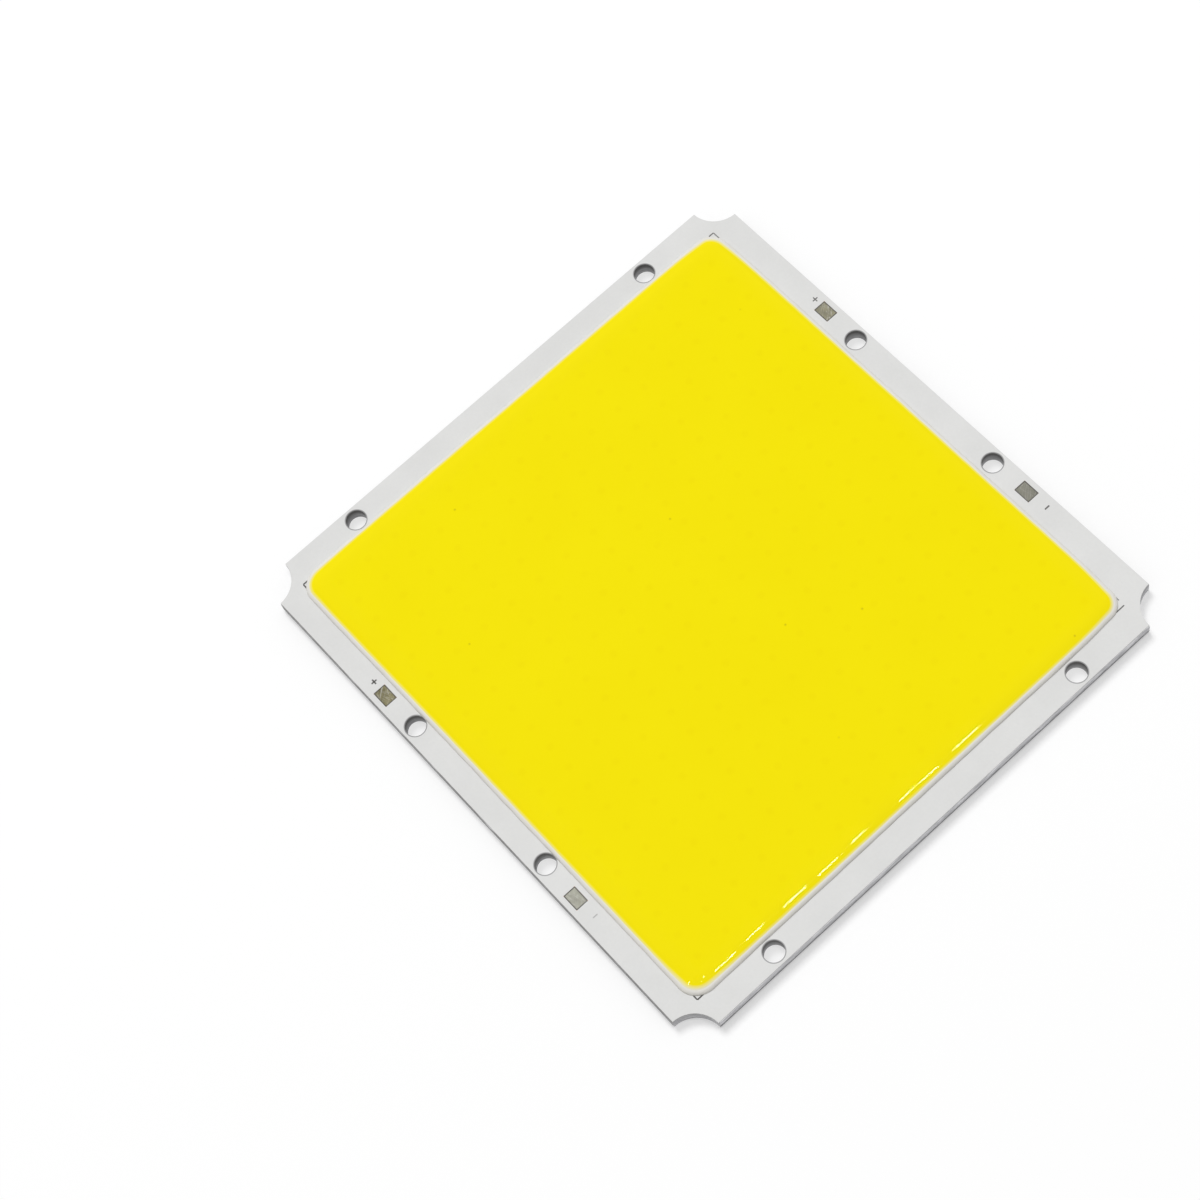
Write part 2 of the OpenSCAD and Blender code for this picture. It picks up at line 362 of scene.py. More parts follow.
# Painted shade: the outer walls of the two long sides, at +Y and -Y, are darker than those of the ends.
long_side_shade_share = spread_to(tree, past_side, 0.0, 0.92, 0.0, 0.1)
long_side_shade_share = product(tree, on_rim, long_side_shade_share, spread_to(tree, torn, 1.0, 0.25, 0.52, 0.66))
bore_shade_share = product(tree, off_rim, bore_shade_rise, spread_to(tree, off_notch, 0.4, 1.0))
metal = between(tree, long_side_shade_share, metal, painted_long_side_shade)
metal = between(tree, product(tree, on_rim, crease_shade_share), metal, painted_crease_shade)
metal = between(tree, bore_shade_share, metal, painted_bore_shade)
sheen = spread_to(tree, is_bevel, 0.55, 0.38)
feed(tree, shader, {"Base Color": metal, "Roughness": sheen, "Metallic": 0.9})
relief(tree, shader, marks, 0.02)
plate.data.materials.append(bare_aluminium)
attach(plate, "root")
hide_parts("aluminium_base_plate")


# Insulating film: epoxy filled with ceramic powder, pressed between the plate and the copper foil.
# Only its edge can be seen, as a thin grey line round the board under the white ink.
film_grey = (0.30, 0.29, 0.27, 1.0)
film_pale = (0.42, 0.41, 0.38, 1.0)
uneven_tone, given, result = new_effect(
    "uneven_tone",
    (
        ("Place", "NodeSocketVector", None),
        ("Patches", "NodeSocketFloat", 0.2),
        ("Grain", "NodeSocketFloat", 4.0),
        ("Grain Share", "NodeSocketFloat", 0.35),
    ),
    "Tone",
)
patches = cloud(uneven_tone, given["Place"], given["Patches"], 3.0)
grain = cloud(uneven_tone, given["Place"], given["Grain"], 2.0)
uneven_tone.links.new(number_between(uneven_tone, given["Grain Share"], patches, grain), result["Tone"])


def two_tones(tree, pattern, low, high, dark, pale):
    """Two colours laid out by a pattern, which is read between a low and a high level."""
    return between(tree, spread_to(tree, pattern, 0.0, 1.0, low, high), dark, pale)


def dress(tree, shader, pattern, dark, pale, smooth, rough, depth_mm):
    """Lets one pattern lead a finish: its colour, its roughness and its relief."""
    colour = two_tones(tree, pattern, 0.3, 0.7, dark, pale)
    feed(tree, shader, {"Base Color": colour, "Roughness": spread_to(tree, pattern, smooth, rough)})
    relief(tree, shader, pattern, depth_mm)


def finish_node(name, material):
    """Gives a piece of the frame its finish."""
    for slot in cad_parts[name].material_slots:
        slot.material = material


filled_epoxy, tree, shader, place = new_finish("filled_epoxy_film")
powder = effect(tree, uneven_tone, {"Place": place, "Patches": 0.5, "Grain": 9.0, "Grain Share": 0.6})
dress(tree, shader, powder, film_grey, film_pale, 0.5, 0.75, 0.01)
finish_node("dielectric_layer", filled_epoxy)


# Circuit: rolled copper foil, etched into five nets whose fingers reach in between each other.
# It is covered by the ink, the pads and the cast layer.
copper_deep = (0.62, 0.26, 0.13, 1.0)
copper_pale = (0.86, 0.46, 0.27, 1.0)
etched_copper, tree, shader, place = new_finish("etched_copper_foil")
foil = effect(tree, drawn_lines, {"Place": place, "Stretch": (0.2, 9.0, 9.0)})
dress(tree, shader, foil, copper_deep, copper_pale, 0.28, 0.5, 0.006)
feed(tree, shader, {"Metallic": 1.0})
for net in ("positive_net", "link_net_1", "link_net_2", "link_net_3", "negative_net"):
    finish_node("copper_" + net, etched_copper)


# Solder mask: white reflecting ink, flooded over the whole light face and cured. It is left open at
# the pads, has a satin face with a faint unevenness, and is grey in a thin ring round each screw hole.
ink_white = (0.735, 0.735, 0.725, 1.0)
ink_shaded = (0.692, 0.692, 0.682, 1.0)
ink_hole_ring = (0.20, 0.20, 0.205, 1.0)
hole_ring_from = screw_r + 0.07
hole_ring_to = screw_r + 0.20
from_holes, given, result = new_effect("from_holes", (("Place", "NodeSocketVector", None),), "Distance")
quarter = reckon_vector(from_holes, "MULTIPLY", given["Place"], (1.0, 1.0, 0.0))
quarter = reckon_vector(from_holes, "ABSOLUTE", quarter)
quarter_holes = [(x, y, 0.0) for x, y in screw_places if x > 0.0 and y > 0.0]
gaps = [reckon_vector(from_holes, "DISTANCE", quarter, hole) for hole in quarter_holes]
from_holes.links.new(reckon(from_holes, "MINIMUM", *gaps), result["Distance"])

white_ink, tree, shader, place = new_finish("white_flood_ink")
flow = effect(tree, uneven_tone, {"Place": place, "Patches": 0.12, "Grain": 2.6, "Grain Share": 0.3})
hole_ring_share = spread_to(tree, effect(tree, from_holes, {"Place": place}), 0.85, 0.0, hole_ring_from, hole_ring_to)
ink = between(tree, hole_ring_share, two_tones(tree, flow, 0.35, 0.65, ink_shaded, ink_white), ink_hole_ring)
feed(tree, shader, {"Base Color": ink, "Roughness": spread_to(tree, flow, 0.38, 0.52)})
feed(tree, shader, {"Specular IOR Level": 0.3})
relief(tree, shader, flow, 0.012)
finish_node("solder_mask", white_ink)


# Printed marks: thin dark ink on the white mask. Short strokes make a cross at the positive pads,
# a bar at the negative pads and an angle at each corner of the bead, which covers its inner ends.
# A stroke is its middle's x and y, its turn in degrees, its length, its width and its wear up to 1.
ink_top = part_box("solder_mask")[1].z / mm
stroke_tall = 0.014
stroke_sunk = 0.002
stroke_lift = 0.1
cross_arm = 0.98
strokes = []
for x, y, width, wear in ((-24.93, -45.2, 0.22, 0.0), (-24.75, 45.71, 0.19, 0.15)):
    strokes += [(x, y, turn, cross_arm, width, wear) for turn in (0.0, 90.0)]
strokes += [(26.04, 45.68, 90.0, 0.92, 0.24, 0.12), (25.96, -45.09, 90.0, 0.88, 0.18, 0.72)]
angles = (
    (-45.15, -42.90, 1.35, 0.68, 0.05, 1.35, 0.22),
    (-45.15, 42.66, 1.35, 0.68, 0.30, 0.95, 0.19),
    (45.35, -42.69, 1.35, 0.68, 0.05, 1.35, 0.21),
    (45.13, 42.44, 0.80, 1.46, 0.40, 2.45, 0.19),
)
for x, y, leg_x, middle_x, wear, leg_y, width in angles:
    strokes.append((x - math.copysign(middle_x, x), y, 0.0, leg_x, width, wear))
    strokes.append((x, y - math.copysign(leg_y / 2, y), 90.0, leg_y, width, wear / 3))
stamp_round = 6
stamp_cap = 0.05
stamp_edge = []
for end, side in ((0.0, 0.5), (math.pi, -0.5)):
    turn = end - math.pi / 2 + math.pi * np.arange(stamp_round + 1) / stamp_round
    stamp_edge.append(np.column_stack([side + stamp_cap * np.cos(turn), 0.5 * np.sin(turn)]))
stamp_edge = np.concatenate(stamp_edge)
stamp_count = len(stamp_edge)
stamp_points = np.concatenate([np.column_stack([stamp_edge, np.full(stamp_count, z)]) for z in (0.0, 1.0)])
stamp_faces = stitch(0, stamp_count, stamp_count)
stamp_faces += [list(range(stamp_count))[::-1], list(range(stamp_count, 2 * stamp_count))]
stamp = closed_mesh("stroke_stamp", stamp_points, stamp_faces)


def new_recipe(name, inputs):
    """An empty geometry tree with a mesh in and out, and named inputs for its sizes."""
    tree = bpy.data.node_groups.new(name, "GeometryNodeTree")
    tree.interface.new_socket("Geometry", in_out="INPUT", socket_type="NodeSocketGeometry")
    keys = {}
    for label, kind in inputs:
        keys[label] = tree.interface.new_socket(label, in_out="INPUT", socket_type=kind).identifier
    tree.interface.new_socket("Geometry", in_out="OUTPUT", socket_type="NodeSocketGeometry")
    return tree, keys, tree.nodes.new("NodeGroupInput").outputs, tree.nodes.new("NodeGroupOutput").inputs


def point_number(tree, label):
    """In a geometry tree, a number that the points carry."""
    return put(tree, "GeometryNodeInputNamedAttribute", {"Name": label}, data_type="FLOAT").outputs[0]


def combined(tree, feeds):
    """A vector from numbers for X, Y and Z."""
    return put(tree, "ShaderNodeCombineXYZ", feeds).outputs[0]


def end_recipe(tree, shape, material, result):
    """Ends a geometry tree: instances are made real, the material is set and the mesh is given out."""
    plain = put(tree, "GeometryNodeRealizeInstances", {"Geometry": shape.outputs[0]})
    dressed = put(tree, "GeometryNodeSetMaterial", {"Geometry": plain.outputs[0], "Material": material})
    tree.links.new(dressed.outputs[0], result["Geometry"])


def make_from(recipe, keys, name, start_mesh, values):
    """Runs a geometry tree on a start mesh and keeps the result as a plain piece."""
    seed = bpy.data.objects.new(name + "_start", start_mesh)
    bpy.context.scene.collection.objects.link(seed)
    work = seed.modifiers.new("make", "NODES")
    work.node_group = recipe
    for label, value in values.items():
        work[keys[label]] = value
    state = bpy.context.evaluated_depsgraph_get()
    mesh = bpy.data.meshes.new_from_object(seed.evaluated_get(state))
    mesh.name = name
    seed.modifiers.remove(work)
    bpy.data.objects.remove(seed)
    piece = bpy.data.objects.new(name, mesh)
    bpy.context.scene.collection.objects.link(piece)
    return piece


def carried(tree, label):
    """In a material, a number that the points carry."""
    return put(tree, "ShaderNodeAttribute", attribute_name=label).outputs["Fac"]


stroke_recipe, stroke_keys, given, result = new_recipe(
    "printed_strokes",
    (("Stamp", "NodeSocketObject"), ("Height", "NodeSocketFloat"), ("Ink", "NodeSocketMaterial")),
)
shape = put(stroke_recipe, "GeometryNodeObjectInfo", {"Object": given["Stamp"]})
numbers = {label: point_number(stroke_recipe, label) for label in ("turn", "length", "width", "lift")}
tall = product(stroke_recipe, given["Height"], numbers["lift"])
swing = combined(stroke_recipe, {2: numbers["turn"]})
stamped = put(
    stroke_recipe,
    "GeometryNodeInstanceOnPoints",
    {
        "Points": given["Geometry"],
        "Instance": shape.outputs["Geometry"],
        "Rotation": put(stroke_recipe, "FunctionNodeEulerToRotation", {0: swing}).outputs[0],
        "Scale": combined(stroke_recipe, {0: numbers["length"], 1: numbers["width"], 2: tall}),
    },
)
end_recipe(stroke_recipe, stamped, given["Ink"], result)

ink_dark = (0.030, 0.028, 0.026, 1.0)
ink_thin = (0.085, 0.080, 0.075, 1.0)
ink_worn = (0.60, 0.60, 0.59, 1.0)
mark_ink, tree, shader, place = new_finish("dark_mark_ink")
print_tone = effect(tree, uneven_tone, {"Place": place, "Patches": 2.0, "Grain": 12.0, "Grain Share": 0.5})
ink = two_tones(tree, print_tone, 0.35, 0.65, ink_dark, ink_thin)
ink = between(tree, carried(tree, "wear"), ink, ink_worn)
feed(tree, shader, {"Base Color": ink, "Roughness": spread_to(tree, print_tone, 0.5, 0.7)})
relief(tree, shader, print_tone, 0.004)
stroke_x, stroke_y, turns, lengths, widths, wears = np.array(strokes).T
stroke_mesh = raw_mesh(
    "stroke_places",
    np.column_stack([stroke_x, stroke_y, np.full(len(strokes), ink_top - stroke_sunk)]),
    [],
    [],
    turn=np.radians(turns),
    length=lengths / (1.0 + 2.0 * stamp_cap),
    width=widths,
    wear=wears,
    lift=1.0 + stroke_lift * (np.arange(len(strokes)) % 2),
)
printed = make_from(
    stroke_recipe, stroke_keys, "printed_marks", stroke_mesh,
    {"Stamp": stamp, "Height": stroke_tall, "Ink": mark_ink},
)
bpy.data.objects.remove(stamp)
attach(printed, "root")


# Solder pads: copper lands opened in the mask and levelled with tin by hot air.
# The tin stands in a low uneven pillow, and handling has left it dull and scratched.
pad_names = ("positive_pad_upper", "positive_pad_lower", "negative_pad_upper", "negative_pad_lower")
pad_ages = (0.6, 1.0, 0.15, 0.0)
pad_darkenings = (0.0, 0.0, 0.40, 0.0)
pad_cells_x = 44
pad_cells_y = 32
pad_edge = 0.16
pad_edge_drop = 0.012
pad_pillow = 0.016
pad_round = 0.14
pad_grow = 0.035
pad_sharp = math.radians(50)


def grid_faces(cells_x, cells_y):
    """Faces of a grid of points, row by row, and the points round its rim in order."""
    across = cells_x + 1
    first = (np.arange(cells_y)[:, None] * across + np.arange(cells_x)[None, :]).ravel()
    faces = np.stack([first, first + 1, first + across + 1, first + across], axis=1).tolist()
    rim = list(range(across))
    rim += [row * across + cells_x for row in range(1, cells_y + 1)]
    rim += [cells_y * across + column for column in range(cells_x - 1, -1, -1)]
    rim += [row * across for row in range(cells_y - 1, 0, -1)]
    return faces, rim


def wall(upper, lower):
    """Faces between two closed rims, each a list of the same number of points."""
    count = len(upper)
    return [[upper[i], lower[i], lower[(i + 1) % count], upper[(i + 1) % count]] for i in range(count)]


def tin_pillow(name, order, age, darkening):
    """A shallow pillow of tin with rounded corners on the land of one pad."""
    low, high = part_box(name)
    middle = np.array((low + high)[:2]) / 2 / mm
    half = np.array((high - low)[:2]) / 2 / mm + pad_grow
    u, v = np.meshgrid(np.linspace(-1, 1, pad_cells_x + 1), np.linspace(-1, 1, pad_cells_y + 1))
    x = u * half[0]
    y = v * half[1]
    inner = np.minimum(half[0] - np.abs(x), half[1] - np.abs(y))
    corner_x = np.maximum(np.abs(x) - half[0] + pad_round, 0.0)
    corner_y = np.maximum(np.abs(y) - half[1] + pad_round, 0.0)
    in_corner = (corner_x > 0) & (corner_y > 0)
    pull = np.minimum(1.0, pad_round / np.maximum(np.hypot(corner_x, corner_y), 1e-6))
    x = np.where(in_corner, np.sign(x) * (half[0] - pad_round + corner_x * pull), x)
    y = np.where(in_corner, np.sign(y) * (half[1] - pad_round + corner_y * pull), y)
    rise = np.clip(inner / pad_edge, 0.0, 1.0)
    swell = 0.5 + 0.5 * np.sin(1.9 * x + 1.3 * order) * np.sin(2.4 * y + 0.7 * order)
    height = high.z / mm - pad_edge_drop * (1.0 - rise) ** 2 + pad_pillow * rise * (0.55 + 0.45 * swell)
    upper = np.column_stack([x.ravel() + middle[0], y.ravel() + middle[1], height.ravel()])
    faces, rim = grid_faces(pad_cells_x, pad_cells_y)
    lower = upper[rim]
    lower[:, 2] = low.z / mm
    foot = list(range(len(upper), len(upper) + len(rim)))
    faces += wall(rim, foot) + [foot[::-1]]
    points = np.concatenate([upper, lower])
    pad_columns = {"age": np.full(len(points), age), "darkening": np.full(len(points), darkening)}
    return closed_mesh("tin_" + name, points, faces, pad_sharp, **pad_columns)


tin_dull = (0.205, 0.202, 0.172, 1.0)
tin_clear = (0.385, 0.383, 0.322, 1.0)
aged_dull = (0.105, 0.094, 0.050, 1.0)
aged_clear = (0.265, 0.240, 0.130, 1.0)
tin_scratch = (0.62, 0.61, 0.57, 1.0)
tin_dark_and_rim_shade = (0.075, 0.072, 0.065, 1.0)
pad_middle = (22.0, 45.4, 0.0)
pad_room = (1.46, 1.06, 9.0)
levelled_tin, tree, shader, place = new_finish("levelled_tin")
tarnish = effect(tree, uneven_tone, {"Place": place, "Patches": 0.7, "Grain": 6.0, "Grain Share": 0.3})
off_middle = reckon_vector(tree, "SUBTRACT", reckon_vector(tree, "ABSOLUTE", place), pad_middle)
room = axes_of(tree, reckon_vector(tree, "SUBTRACT", pad_room, reckon_vector(tree, "ABSOLUTE", off_middle)))
inward = reckon(tree, "MINIMUM", room["X"], room["Y"])
rim_shade_share = reckon(tree, "DIVIDE", inward, reckon(tree, "MULTIPLY_ADD", tarnish, 0.16, 0.03))
clearness = spread_to(tree, tarnish, 0.0, 1.0, 0.35, 0.65)
fresh_tin = between(tree, clearness, tin_dull, tin_clear)
tin = between(tree, carried(tree, "age"), fresh_tin, between(tree, clearness, aged_dull, aged_clear))
cuts = effect(tree, hair_scratches, {"Place": place, "Turn": 0.9, "Size": 0.8, "Width": 0.022})
crossed = effect(tree, hair_scratches, {"Place": place, "Turn": -0.35, "Size": 1.1, "Width": 0.020})
cuts = product(tree, reckon(tree, "MAXIMUM", cuts, crossed), 0.55)
tin = between(tree, cuts, tin, tin_scratch)
# One pad is darker all over, by the number that its points carry.
tin = between(tree, carried(tree, "darkening"), tin, tin_dark_and_rim_shade)
# Painted shade: a dark band along the rim of each pad, where the edge of the mask shades the tin.
tin = between(tree, spread_to(tree, rim_shade_share, 1.0, 0.0, 0.6, 1.3), tin, tin_dark_and_rim_shade)
dullness = spread_to(tree, tarnish, 0.36, 0.6, 0.3, 0.7)
feed(tree, shader, {"Base Color": tin, "Roughness": dullness, "Metallic": 0.7})
relief(tree, shader, tarnish, 0.02)
for order, name in enumerate(pad_names):
    pad = tin_pillow(name, order, pad_ages[order], pad_darkenings[order])
    pad.data.materials.append(levelled_tin)
    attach(pad, "root")
    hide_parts(name)


# Solder joints: two dabs of reflowed tin-silver under every diode.
# They join its contacts to two neighbouring copper fingers, out of sight under the cast layer.
solder_dull = (0.42, 0.42, 0.43, 1.0)
solder_bright = (0.66, 0.66, 0.66, 1.0)
reflowed_solder, tree, shader, place = new_finish("reflowed_solder")
cooled = effect(tree, uneven_tone, {"Place": place, "Patches": 1.5, "Grain": 14.0, "Grain Share": 0.5})
dress(tree, shader, cooled, solder_dull, solder_bright, 0.25, 0.45, 0.004)
feed(tree, shader, {"Metallic": 1.0})
for string in range(1, 5):
    finish_node("string_solder_%d" % string, reflowed_solder)


# Diodes: bare sapphire chips, sawn from a wafer and set face down, 75 in parallel to each string.
# The four strings are in series.
sapphire_deep = (0.36, 0.42, 0.52, 1.0)
sapphire_pale = (0.62, 0.68, 0.76, 1.0)
sawn_sapphire, tree, shader, place = new_finish("sawn_sapphire")
saw_marks = effect(tree, drawn_lines, {"Place": place, "Stretch": (1.0, 1.0, 22.0)})
dress(tree, shader, saw_marks, sapphire_deep, sapphire_pale, 0.12, 0.3, 0.004)
feed(tree, shader, {"IOR": 1.76})
for string in range(1, 5):
    finish_node("led_string_%d" % string, sawn_sapphire)


# Dam: cream silicone paste, laid by a needle in one closed bead round the light field and cured.
# Its height and line wander a little, as a dispensed bead does.
field_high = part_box("phosphor_layer")[1]
bead_low, bead_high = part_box("dam_bead")
crest_x = field_high.x / mm
crest_y = field_high.y / mm
crest_corner = 2.8
seat = bead_low.z / mm
bead_w = 2.0 * (bead_high.x - field_high.x) / mm
bead_h = (bead_high.z - bead_low.z) / mm
bead_step = 0.25
bead_points = 17
bead_stray_x = (0.05, -0.14)
bead_stray_y = (0.16, -0.30)
bead_pull = -0.0020
swing_start = -20.0
swing_rate = 0.0075
corner_pulls = ((0.06, 0.25), (0.0, 0.30))
corner_reach = 6.0


def near_corner(x, y, amounts, reach):
    """An amount for each corner, given by the signs of x and y, that fades away from the corner."""
    amount = np.where(x < 0, np.where(y < 0, *amounts[0]), np.where(y < 0, *amounts[1]))
    return amount * np.exp(-((np.abs(x) - crest_x) ** 2 + (np.abs(y) - crest_y) ** 2) / reach ** 2)


def bead_stray(x, y, out_x, out_y):
    """How far each side of the laid loop stands outside its nominal line, in mm."""
    at_x = out_x ** 2 * np.where(out_x < 0, bead_stray_x[0], bead_stray_x[1] + bead_pull * y)
    swung_out = bead_stray_y[0] + swing_rate * np.maximum(swing_start - x, 0.0)
    at_y = out_y ** 2 * np.where(out_y < 0, swung_out, bead_stray_y[1] + bead_pull * x)
    return at_x + at_y - near_corner(x, y, corner_pulls, corner_reach)


def bead_wander(x, y):
    """How far the needle shook outwards along the way, in mm."""
    slow = 0.014 * np.sin(0.21 * x + 0.16 * y + 0.7)
    quick = 0.009 * np.sin(0.83 * x - 0.71 * y + 2.1)
    return slow + quick + 0.006 * np.sin(2.1 * x + 1.9 * y)


def bead_fullness(x, y):
    """Size of the bead against its nominal section."""
    return 1.0 + 0.025 * np.sin(0.33 * x - 0.27 * y + 1.2) + 0.015 * np.sin(1.27 * x + 1.1 * y + 0.4)


def crest_line(step):
    """Points along the nominal crest, anticlockwise, with their outward directions."""
    points, outward = [], []
    for nx, ny in ((1, 0), (0, 1), (-1, 0), (0, -1)):
        half_run = (crest_y if nx else crest_x) - crest_corner
        offset = crest_x if nx else crest_y
        count = int(round(2.0 * half_run / step))
        run = np.linspace(-half_run, half_run, count, endpoint=False)[:, None]
        points.append(offset * np.array([[nx, ny]]) + run * np.array([[-ny, nx]]))
        outward.append(np.repeat([[float(nx), float(ny)]], count, axis=0))
        centre = np.array([[(nx - ny) * (crest_x - crest_corner), (nx + ny) * (crest_y - crest_corner)]])
        count = int(round(crest_corner * math.pi / 2 / step))
        turn = math.atan2(ny, nx) + np.linspace(0.0, math.pi / 2, count, endpoint=False)
        spoke = np.stack([np.cos(turn), np.sin(turn)], axis=1)
        points.append(centre + crest_corner * spoke)
        outward.append(spoke)
    return np.concatenate(points), np.concatenate(outward)


bead_recipe, bead_keys, given, result = new_recipe(
    "laid_bead",
    (
        ("Width", "NodeSocketFloat"),
        ("Height", "NodeSocketFloat"),
        ("Points", "NodeSocketInt"),
        ("Paste", "NodeSocketMaterial"),
    ),
)
route = put(bead_recipe, "GeometryNodeMeshToCurve", {"Mesh": given["Geometry"]})
route = put(bead_recipe, "GeometryNodeSetCurveNormal", {"Curve": route.outputs[0]}, mode="Z_UP")
section = put(
    bead_recipe,
    "GeometryNodeCurveArc",
    {
        "Resolution": given["Points"],
        "Start": combined(bead_recipe, {0: product(bead_recipe, given["Width"], -0.5)}),
        "Middle": combined(bead_recipe, {1: product(bead_recipe, given["Height"], -1.0)}),
        "End": combined(bead_recipe, {0: product(bead_recipe, given["Width"], 0.5)}),
    },
    mode="POINTS",
)
section = put(bead_recipe, "GeometryNodeSetSplineCyclic", {"Geometry": section.outputs[0], "Cyclic": True})
fullness = point_number(bead_recipe, "fullness")
swept = put(
    bead_recipe,
    "GeometryNodeCurveToMesh",
    {"Curve": route.outputs[0], "Profile Curve": section.outputs[0], "Scale": fullness},
)
end_recipe(bead_recipe, swept, given["Paste"], result)

paste_cream = (0.735, 0.715, 0.660, 1.0)
paste_pale = (0.765, 0.748, 0.705, 1.0)
painted_foot_shade = (0.330, 0.300, 0.240, 1.0)
foot_shade_tall = 0.08
cream_paste, tree, shader, place = new_finish("cream_silicone_paste")
cure = effect(tree, uneven_tone, {"Place": place, "Patches": 0.3, "Grain": 3.0, "Grain Share": 0.35})
paste = two_tones(tree, cure, 0.35, 0.65, paste_cream, paste_pale)
# Painted shade: the foot of the bead is darkened to brown, fully along the +X and -Y sides and only faintly
# along the others.
foot = spread_to(tree, axes_of(tree, place)["Z"], 0.75, 0.0, seat, seat + foot_shade_tall)
lean = reckon_vector(tree, "DOT_PRODUCT", place, (-1.0 / crest_x, 1.0 / crest_y, 0.0))
foot = product(tree, foot, spread_to(tree, lean, 1.0, 0.05, -0.1, 0.1))
paste = between(tree, foot, paste, painted_foot_shade)
feed(tree, shader, {"Base Color": paste, "Roughness": spread_to(tree, cure, 0.28, 0.42)})
feed(tree, shader, {"Specular IOR Level": 0.35})
relief(tree, shader, cure, 0.02)

line_points, line_out = crest_line(bead_step)
line_x, line_y = line_points.T
line_drift = bead_stray(line_x, line_y, *line_out.T) + bead_wander(line_x, line_y)
line_count = len(line_points)
line_mesh = raw_mesh(
    "bead_line",
    np.column_stack([line_points + line_out * line_drift[:, None], np.full(line_count, seat)]),
    [(i, (i + 1) % line_count) for i in range(line_count)],
    [],
    fullness=bead_fullness(line_x, line_y),
)
dam = make_from(
    bead_recipe, bead_keys, "laid_dam_bead", line_mesh,
    {"Width": bead_w * mm, "Height": bead_h * mm, "Points": bead_points, "Paste": cream_paste},
)
for face in dam.data.polygons:
    face.use_smooth = True
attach(dam, "root")
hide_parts("dam_bead")


# Phosphor layer: clear silicone loaded with yellow powder, poured inside the dam and cured.
# It climbs to the crest, stands in a low crown with a rounded rim, and shows the rows of diodes
# under it as a faint ripple and as slightly deeper spots.
crown_h = (field_high.z - bead_high.z) / mm
crown_w = 2.5
crown_r = (crown_w ** 2 + crown_h ** 2) / (2.0 * crown_h)
pitch_x = 4.3
pitch_y = 5.5
skin_step = 0.33
skin_sharp = math.radians(40)
rim_rings = 18
ring_crowding = 1.35
rim_ripple = 0.0002
field_ripple = 0.0015
corner_ripple = 0.0003
held_reach = 0.4
stray_reach = 1.7
flank_shares = (0.3, 0.55, 0.8, 1.0)
corner_thins = ((0.12, 0.28), (0.40, 0.29))
thin_reach = 5.0


def inside_crest(x, y):
    """Depth inside the crest line, and how much of the nearest edge is an X end."""
    past_x = np.abs(x) - (crest_x - crest_corner)
    past_y = np.abs(y) - (crest_y - crest_corner)
    round_x = np.maximum(past_x, 0.0)
    round_y = np.maximum(past_y, 0.0)
    depth = crest_corner - np.hypot(round_x, round_y) - np.minimum(np.maximum(past_x, past_y), 0.0)
    in_corner = (past_x > 0) & (past_y > 0)
    turn = np.arctan2(round_y, round_x)
    end_share = np.where(in_corner, np.cos(turn) ** 2, (past_x > past_y).astype(float))
    return depth, end_share, in_corner, turn


def skin_height(x, y):
    """Height of the cast skin above the crest of the dam."""
    depth, end_share, in_corner, turn = inside_crest(x, y)
    slope = np.clip(crown_w - depth, 0.0, crown_w)
    rise = crown_h - crown_r + np.sqrt(crown_r ** 2 - slope ** 2)
    row_wave = np.cos(2.0 * math.pi * y / pitch_y + 0.5 * np.sin(0.19 * y + 0.11 * x))
    column_wave = -np.cos(2.0 * math.pi * x / pitch_x + 0.5 * np.sin(0.17 * x - 0.13 * y))
    strength = 1.0 + 0.3 * np.sin(0.31 * x + 0.43 * y + 0.9)
    rim = np.exp(-((depth - 1.1) / 0.9) ** 2) * np.clip(depth / 0.5, 0.0, 1.0)
    wave = end_share * row_wave + (1.0 - end_share) * column_wave
    plain_edge = np.where(in_corner, np.abs(np.cos(2.0 * turn)), 1.0)
    ripple = rim_ripple * strength * rim * wave * plain_edge
    ripple += np.where(in_corner, corner_ripple * rim * np.cos(14.0 * turn + 1.0) * np.sin(2.0 * turn), 0.0)
    calm = np.clip((depth - 2.0) / 2.0, 0.0, 1.0)
    return rise + ripple + field_ripple * calm * row_wave * column_wave


core_x = crest_x - crest_corner
core_y = crest_y - crest_corner
cells_x = int(round(2.0 * core_x / skin_step)) + 2 * rim_rings
cells_y = int(round(2.0 * core_y / skin_step)) + 2 * rim_rings
ring_depth = crest_corner * np.linspace(0.0, 1.0, rim_rings + 1) ** ring_crowding


def skin_axis(cells, core):
    """For each line of the skin's grid: its place on the core, and its ring out from the core."""
    line = np.arange(cells + 1)
    ring_out = np.maximum(np.maximum(rim_rings - line, line - (cells - rim_rings)), 0)
    place = np.clip((line - rim_rings) / (cells - 2 * rim_rings), 0.0, 1.0) * 2.0 * core - core
    return place, ring_out * np.where(line < cells / 2, -1, 1)


place_x, out_x = skin_axis(cells_x, core_x)
place_y, out_y = skin_axis(cells_y, core_y)
grid_x, grid_y = np.meshgrid(place_x, place_y)
steps_x, steps_y = np.meshgrid(out_x, out_y)
ring_out = np.maximum(np.abs(steps_x), np.abs(steps_y))
safe = np.maximum(ring_out, 1)
swing = np.where(
    np.abs(steps_x) >= np.abs(steps_y),
    np.abs(steps_y) / safe,
    2.0 - np.abs(steps_x) / safe,
) * math.pi / 4
beyond = crest_corner - ring_depth[rim_rings - ring_out]
skin_x = grid_x + np.sign(steps_x) * beyond * np.cos(swing)
skin_y = grid_y + np.sign(steps_y) * beyond * np.sin(swing)
depth = inside_crest(skin_x, skin_y)[0]
out_dir_x = np.sign(steps_x) * np.cos(swing)
out_dir_y = np.sign(steps_y) * np.sin(swing)
line_x = skin_x + out_dir_x * depth
line_y = skin_y + out_dir_y * depth
held = np.exp(-(depth / held_reach) ** 2)
strayed = np.exp(-(depth / stray_reach) ** 2) * (ring_out > 0)
